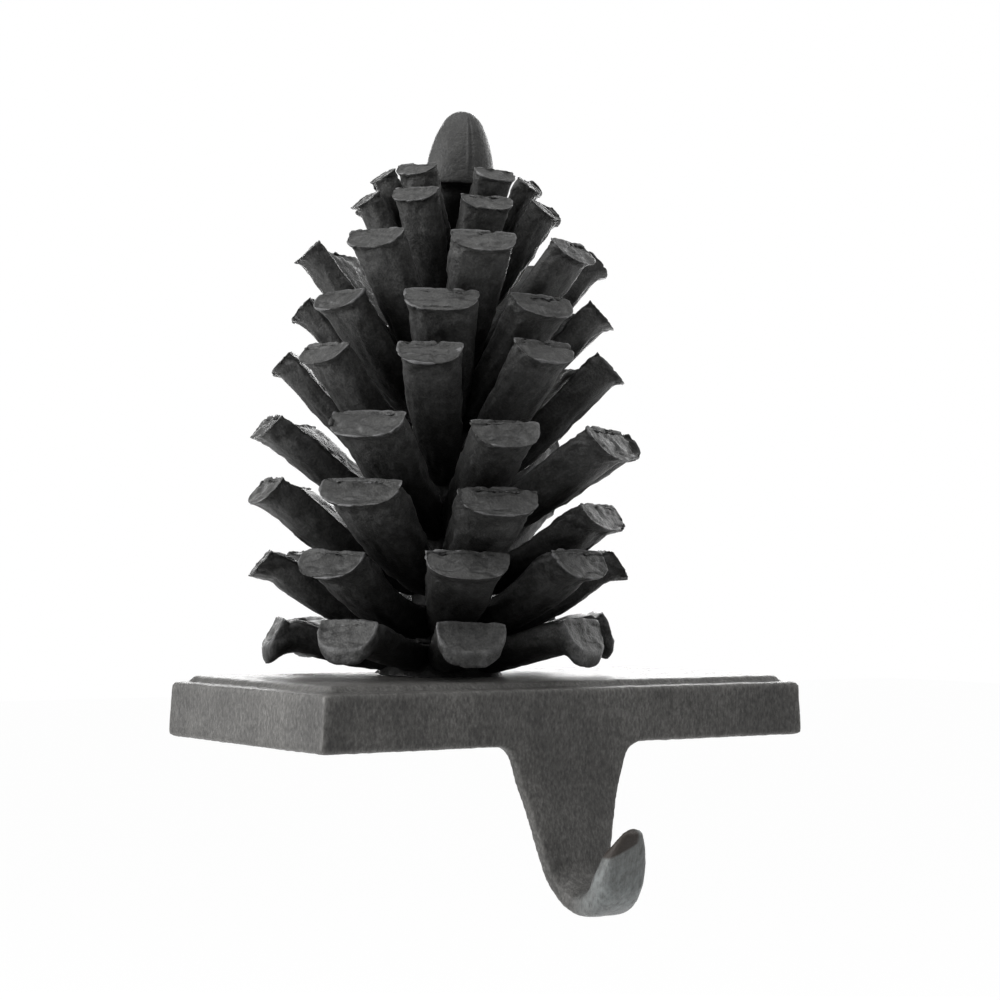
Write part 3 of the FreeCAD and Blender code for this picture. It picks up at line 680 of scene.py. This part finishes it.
# radius and depth below the top, in mm
budSide = [(2.2, 0.5), (3.6, 1.5), (4.65, 2.8), (5.6, 4.4), (6.4, 6.2), (7.1, 8.3), (7.8, 10.8), (8.35, 13.4),
           (8.7, 16.5), (8.85, 19.0), (8.7, 19.55), (8.1, 19.7), (6.5, 19.5)]


def makeBud(form, level):
    bm = bmesh.new()
    rod, neck, skirt = coneForm["rod"] / 2, form["neck"] / 2, form["skirtHeight"]
    outline = [(0, -level + form["rodEnd"]), (rod, -level + form["rodEnd"]), (rod, 0), (neck, 0),
               (neck, skirt - form["flareLow"]), (neck + form["flareOut"], skirt - form["flareHigh"])]
    outline += [(radius, form["height"] - depth) for radius, depth in reversed(budSide)] + [(0, form["height"])]
    verts = [bm.verts.new((x * mm, 0, z * mm)) for x, z in outline]
    edges = [bm.edges.new(pair) for pair in zip(verts, verts[1:])]
    bmesh.ops.spin(bm, geom=verts + edges, cent=(0, 0, 0), axis=(0, 0, 1), dvec=(0, 0, 0),
                   angle=2 * math.pi, steps=form["steps"], use_merge=True)
    bmesh.ops.remove_doubles(bm, verts=bm.verts, dist=0.03 * mm)
    bm = modified(bm, "SUBSURF", levels=1, render_levels=1)
    # the mould's joint runs up one side as a ridge with a groove beside it
    for vert in bm.verts:
        if vert.co.z < form["ridgeFoot"] * mm:
            continue
        turn = math.degrees(math.atan2(vert.co.y, vert.co.x))
        out = 0.0
        for place, change in ((form["ridgeTurn"], form["ridgeOut"]), (form["grooveTurn"], -form["grooveIn"])):
            out += change * max(0.0, 1 - abs(turn - place) / form["ridgeHalf"])
        fade = min(1.0, (form["height"] * mm - vert.co.z) / (form["fadeTop"] * mm),
                   (vert.co.z / mm - form["ridgeFoot"]) / form["fadeFoot"])
        vert.co += Vector((vert.co.x, vert.co.y, 0)).normalized() * out * fade * mm
    # it stands a little off the rod's line, to the right as the camera sees it
    sight = Vector((math.sin(cameraForm["yaw"]), math.cos(cameraForm["yaw"]), 0))
    raised = [vert for vert in bm.verts if vert.co.z > 0]
    bmesh.ops.transform(bm, matrix=Matrix.Rotation(math.radians(form["tilt"]), 4, sight), verts=raised)
    bmesh.ops.transform(bm, matrix=onRod(level), verts=bm.verts)
    roughen(bm, form["grainSize"], form["grainDepth"], form["grainSeed"])
    finishPiece("cone_bud", bm, budIron, ["bud_bolt"])


makeBud(budForm, level)
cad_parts["rod_nut"].data.materials.clear()
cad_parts["rod_nut"].data.materials.append(nutSteel)
print("bud made")


# floor, light and camera, in metres and watts
stageForm = {"floorDrop": 0.32, "floorSize": 12.0, "floorGrey": (0.72, 0.72, 0.72, 1), "floorRoughness": 0.9,
             "floorWhite": 1.06, "whiteShare": 0.9, "worldStrength": 0.36}
# each lamp's place, aim, width and power
lampForms = {
    "topSoftbox": ((-0.2, -0.3, 1.05), (0, 0, 0.06), 0.8, 9),
    "leftSoftbox": ((-0.95, 0.35, 0.3), (0, 0, 0.05), 0.8, 15),
    "rightSoftbox": ((0.95, 0.25, 0.35), (0, 0, 0.07), 0.8, 4),
    "backSoftbox": ((0.72, 1.05, 0.32), (0, 0, 0.06), 1.1, 30),
}


def makeFloor(form):
    bm = bmesh.new()
    bmesh.ops.create_grid(bm, x_segments=1, y_segments=1, size=form["floorSize"] / 2)
    bmesh.ops.translate(bm, vec=(0, 0, -form["floorDrop"]), verts=bm.verts)
    mesh = bpy.data.meshes.new("floor")
    bm.to_mesh(mesh)
    bm.free()
    floor = bpy.data.objects.new("floor", mesh)
    bpy.context.scene.collection.objects.link(floor)
    paper = bpy.data.materials.new("whitePaperFloor")
    paper.use_nodes = True
    tree = paper.node_tree
    shader = tree.nodes["Principled BSDF"]
    shader.inputs["Base Color"].default_value = form["floorGrey"]
    shader.inputs["Roughness"].default_value = form["floorRoughness"]
    white = addNode(tree, "ShaderNodeEmission", {"Color": (1, 1, 1, 1), "Strength": form["floorWhite"]}).outputs[0]
    # the camera sees the paper burnt out to white, with a trace of the shadow
    seen = addNode(tree, "ShaderNodeLightPath").outputs["Is Camera Ray"]
    share = addNode(tree, "ShaderNodeMath", {**multiply, 1: form["whiteShare"]}, {0: seen}).outputs["Value"]
    both = addNode(tree, "ShaderNodeMixShader", {}, {0: share, 1: shader.outputs["BSDF"], 2: white}).outputs[0]
    tree.links.new(both, tree.nodes["Material Output"].inputs["Surface"])
    floor.data.materials.append(paper)


def makeWorld(form):
    # white where the camera or the metal sees it, and dim as a light
    world = bpy.data.worlds.new("softStudio")
    world.use_nodes = True
    bpy.context.scene.world = world
    tree = world.node_tree
    back = tree.nodes["Background"]
    back.inputs["Color"].default_value = (1, 1, 1, 1)
    path = addNode(tree, "ShaderNodeLightPath").outputs
    shown = addNode(tree, "ShaderNodeMath", {"operation": "MAXIMUM"},
                    {0: path["Is Camera Ray"], 1: path["Is Glossy Ray"]}).outputs["Value"]
    strength = addNode(tree, "ShaderNodeMapRange", {"To Min": form["worldStrength"], "To Max": 1.0},
                       {"Value": shown}).outputs["Result"]
    tree.links.new(strength, back.inputs["Strength"])


def addLamp(name, place, aim, width, watts):
    light = bpy.data.lights.new(name, "AREA")
    light.shape, light.size, light.energy = "DISK", width, watts
    lamp = bpy.data.objects.new(name, light)
    bpy.context.scene.collection.objects.link(lamp)
    lamp.location = place
    lamp.visible_camera = False
    lamp.rotation_euler = (Vector(aim) - Vector(place)).to_track_quat("-Z", "Y").to_euler()


def makeCamera(form):
    yaw, pitch = form["yaw"], form["pitch"]
    forward = Vector((math.sin(yaw) * math.cos(pitch), math.cos(yaw) * math.cos(pitch), math.sin(pitch)))
    right = Vector((math.cos(yaw), -math.sin(yaw), 0))
    up = right.cross(forward)
    turned = Matrix.Rotation(-form["roll"], 3, forward)
    right, up = turned @ right, turned @ up
    data = bpy.data.cameras.new("camera")
    data.sensor_width = form["sensor"]
    data.lens = form["pixelLens"] / form["imageWidth"] * form["sensor"]
    data.clip_start, data.clip_end = form["nearest"], form["farthest"]
    camera = bpy.data.objects.new("camera", data)
    bpy.context.scene.collection.objects.link(camera)
    camera.matrix_world = Matrix.Translation(form["place"]) @ Matrix((right, up, -forward)).transposed().to_4x4()
    bpy.context.scene.camera = camera


makeFloor(stageForm)
makeWorld(stageForm)
for name, lampForm in lampForms.items():
    addLamp(name, *lampForm)
makeCamera(cameraForm)
bpy.context.scene.view_settings.view_transform = "Standard"
print("stage, lamps and camera ready")
